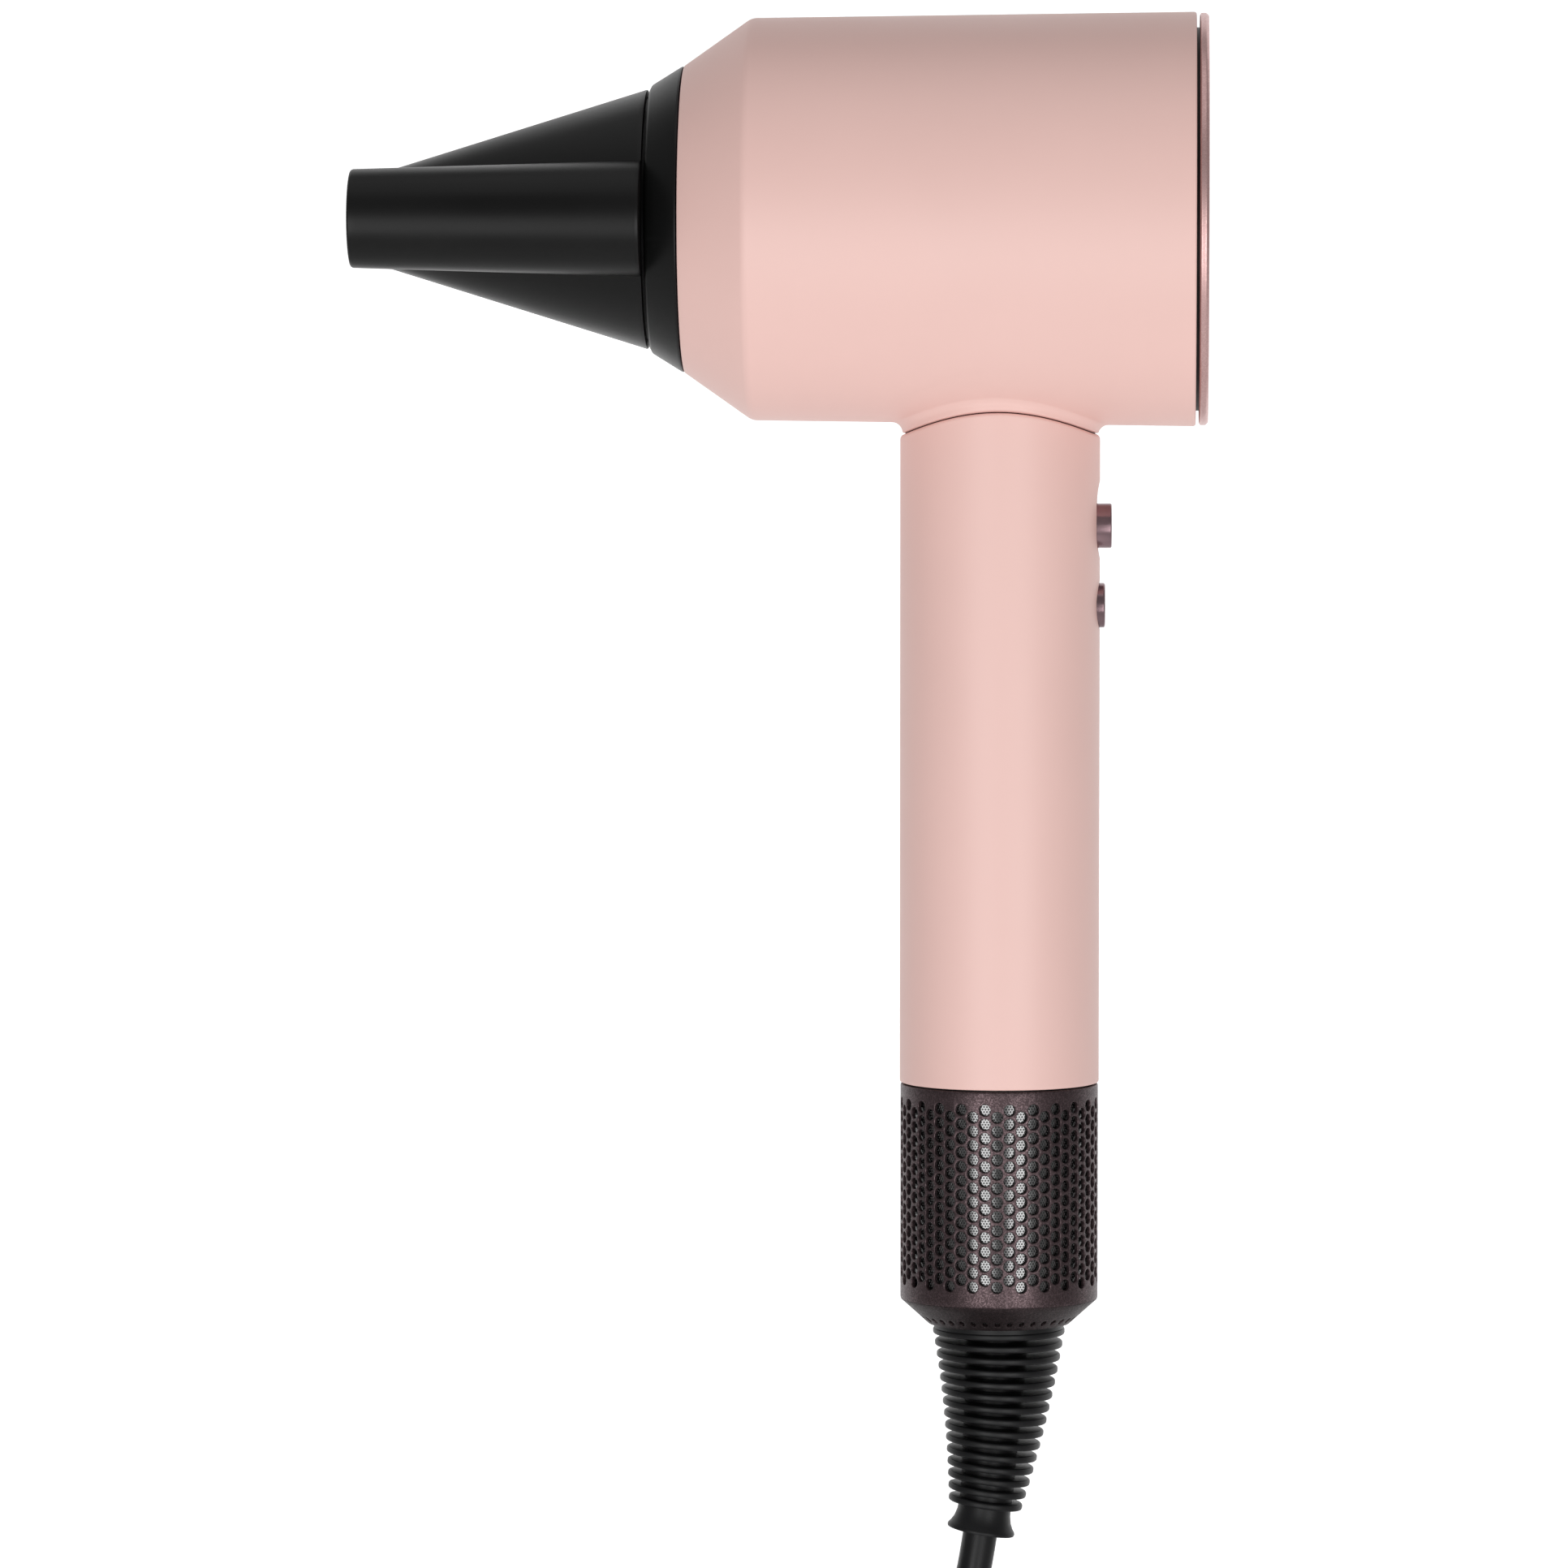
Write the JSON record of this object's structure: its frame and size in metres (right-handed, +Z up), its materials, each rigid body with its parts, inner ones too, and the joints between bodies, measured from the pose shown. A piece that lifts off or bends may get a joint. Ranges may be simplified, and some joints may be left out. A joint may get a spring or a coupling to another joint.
{
  "type": "hair dryer",
  "caption": "Hand-held hair dryer: round open-bore head, straight grip with controls and a perforated filter cage, flat magnetic nozzle, ribbed strain relief and mains cord.",
  "frame": {"origin": "on the axis of the opening through the head, where the grip's axis crosses it", "axes": "+X along the head's opening towards the back cover, so the nozzle points to -X; +Z up, away from the grip; +Y to the left of a user who holds the grip and looks along -X"},
  "size_m": [0.1582, 0.0772, 0.4476],
  "materials": {
    "shell_pink": "soft-touch satin, pale pink",
    "rose_metal": "rose anodised, fine satin",
    "plum_metal": "dark plum metallic",
    "nozzle_black": "black satin",
    "black_plastic": "black, moulded",
    "dark_plastic": "dark grey, moulded",
    "steel": "plain steel",
    "mesh_steel": "fine woven mesh",
    "resistance_wire": "oxidised resistance wire",
    "mica": "mica sheet",
    "circuit_board": "green circuit board",
    "aluminium": "machined",
    "magnet": "sintered magnet",
    "copper": "enamelled copper wire",
    "foam": "open-cell foam",
    "mount_rubber": "soft rubber",
    "lead_rubber": "insulated leads",
    "cord_rubber": "black, satin",
    "tie_fabric": "hook-and-loop strap",
    "plug_plastic": "black, moulded",
    "plug_metal": "nickel-plated pins",
    "lens": "clear light guides"
  },
  "bodies": {
    "dryer": {"head_shell": "shell_pink", "outlet_ring": "black_plastic", "front_magnets": "steel", "inner_tube": "dark_plastic", "heater_frame": "mica", "heater_wire": "resistance_wire", "thermal_cutout": "steel", "thermistor": "black_plastic", "ioniser": "black_plastic", "bulkhead": "dark_plastic", "control_board": "circuit_board", "board_parts": "black_plastic", "tact_switches": "black_plastic", "rear_cover": "black_plastic", "rear_trim_ring": "rose_metal", "indicator_lenses": "lens", "handle_shell": "shell_pink", "neck_duct": "dark_plastic", "switch_carrier": "black_plastic", "switch_board": "circuit_board", "slide_switch": "steel", "cool_switch": "black_plastic", "cool_shot_spring": "steel", "foam_sleeve": "foam", "motor_mount": "mount_rubber", "motor_shroud": "aluminium", "diffuser": "dark_plastic", "motor_bearings": "steel", "stator_core": "steel", "stator_windings": "copper", "motor_board": "circuit_board", "motor_leads": "lead_rubber", "head_leads": "lead_rubber", "mains_leads": "lead_rubber", "inlet_frame": "black_plastic", "strain_relief": "cord_rubber", "cord_anchor": "black_plastic", "anchor_screws": "steel", "cord_lead": "cord_rubber", "cord_coil": "cord_rubber", "cord_tail": "cord_rubber", "cord_tie": "tie_fabric", "plug_body": "plug_plastic", "plug_pins": "plug_metal"},
    "nozzle_holder": {"nozzle_magnet_ring": "steel"},
    "nozzle": {"nozzle_base_ring": "nozzle_black", "nozzle_hood": "nozzle_black", "nozzle_duct": "nozzle_black"},
    "slider": {"power_slider": "plum_metal", "slider_lever": "black_plastic"},
    "cool_shot": {"cool_shot_button": "plum_metal"},
    "airflow": {"airflow_button": "rose_metal"},
    "heat": {"heat_button": "rose_metal"},
    "filter_drum": {"filter_mesh": "mesh_steel"},
    "filter": {"filter_cage": "plum_metal", "filter_collar": "plum_metal"},
    "rotor": {"impeller": "aluminium", "motor_shaft": "steel", "rotor_magnet": "magnet"}
  },
  "joints": [
    {"name": "nozzle_pull", "type": "slide", "parent": "dryer", "child": "nozzle_holder", "axis": [-1, 0, 0], "range_m": [0, 0.04]},
    {"name": "nozzle_turn", "type": "hinge", "parent": "nozzle_holder", "child": "nozzle", "pos_m": [-0.06, 0, 0], "axis": [1, 0, 0], "continuous": true},
    {"name": "power_slide", "type": "slide", "parent": "dryer", "child": "slider", "axis": [0, 0, 1], "range_m": [0, 0.0038]},
    {"name": "cool_shot_push", "type": "slide", "parent": "dryer", "child": "cool_shot", "axis": [-1, 0, 0], "range_m": [0, 0.0012], "stiffness_N_per_m": 800, "springref_m": -0.0008, "deforming": ["cool_shot_spring"]},
    {"name": "airflow_push", "type": "slide", "parent": "dryer", "child": "airflow", "axis": [-1, 0, 0], "range_m": [0, 0.0008], "stiffness_N_per_m": 1000, "springref_m": -0.0005},
    {"name": "heat_push", "type": "slide", "parent": "dryer", "child": "heat", "axis": [-1, 0, 0], "range_m": [0, 0.0008], "stiffness_N_per_m": 1000, "springref_m": -0.0005},
    {"name": "filter_pull", "type": "slide", "parent": "dryer", "child": "filter_drum", "axis": [0, 0, -1], "range_m": [0, 0.046]},
    {"name": "filter_twist", "type": "hinge", "parent": "filter_drum", "child": "filter", "pos_m": [0, 0, -0.18], "axis": [0, 0, 1], "range_deg": [0, 30]},
    {"name": "impeller_spin", "type": "hinge", "parent": "dryer", "child": "rotor", "pos_m": [0, 0, -0.14], "axis": [0, 0, 1], "continuous": true}
  ]
}
